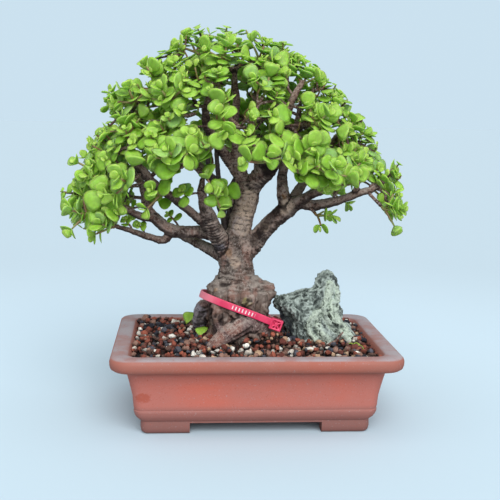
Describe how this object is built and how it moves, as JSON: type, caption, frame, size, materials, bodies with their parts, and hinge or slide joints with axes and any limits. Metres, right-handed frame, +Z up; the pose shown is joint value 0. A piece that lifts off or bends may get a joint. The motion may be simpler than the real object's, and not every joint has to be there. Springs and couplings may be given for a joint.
{
  "type": "potted bonsai tree",
  "caption": "Dwarf jade bonsai with a swollen trunk and small round leaves, in a footed rectangular clay pot with gravel, a craggy stone and a strap tag; a display plant.",
  "frame": {"origin": "on the ground under the middle of the whole plant's width and depth, level with the undersides of the pot's feet", "axes": "+Z up, +X to the right along the pot's long side as the picture sees it, +Y away from the viewer"},
  "size_m": [0.2714, 0.208, 0.3024],
  "materials": {
    "clay": "matt unglazed red-brown clay",
    "gravel": "dry mixed lava, pumice and clay grains",
    "stone": "rough grey-green rock",
    "bark": "matt grey-brown bark with fine rings",
    "leaf": "smooth waxy green",
    "tag_plastic": "smooth pink-red",
    "mesh_plastic": "matt dark plastic mesh"
  },
  "bodies": {
    "root": {"pot": "clay", "drain_screen_left": "mesh_plastic", "drain_screen_right": "mesh_plastic", "gravel_bed": "gravel", "stone": "stone", "trunk_and_limbs": "bark", "strap_tag": "tag_plastic", "fallen_leaf_1": "leaf", "fallen_leaf_2": "leaf", "spray_01": "leaf", "spray_02": "leaf", "spray_03": "leaf", "spray_04": "leaf", "spray_05": "leaf", "spray_06": "leaf", "spray_07": "leaf", "spray_08": "leaf", "spray_09": "leaf", "spray_10": "leaf", "spray_11": "leaf", "spray_12": "leaf", "spray_13": "leaf", "spray_14": "leaf", "spray_15": "leaf", "spray_16": "leaf", "spray_17": "leaf", "spray_18": "leaf", "spray_19": "leaf", "spray_20": "leaf", "spray_21": "leaf", "spray_22": "leaf", "spray_23": "leaf", "spray_24": "leaf", "spray_25": "leaf", "spray_26": "leaf", "spray_27": "leaf", "spray_28": "leaf", "spray_29": "leaf", "spray_30": "leaf", "spray_31": "leaf", "spray_32": "leaf", "spray_33": "leaf", "spray_34": "leaf", "spray_35": "leaf", "spray_36": "leaf", "spray_37": "leaf", "spray_38": "leaf", "spray_39": "leaf", "spray_40": "leaf", "spray_41": "leaf", "spray_42": "leaf", "spray_43": "leaf", "spray_44": "leaf", "spray_45": "leaf", "spray_46": "leaf"}
  },
  "joints": []
}
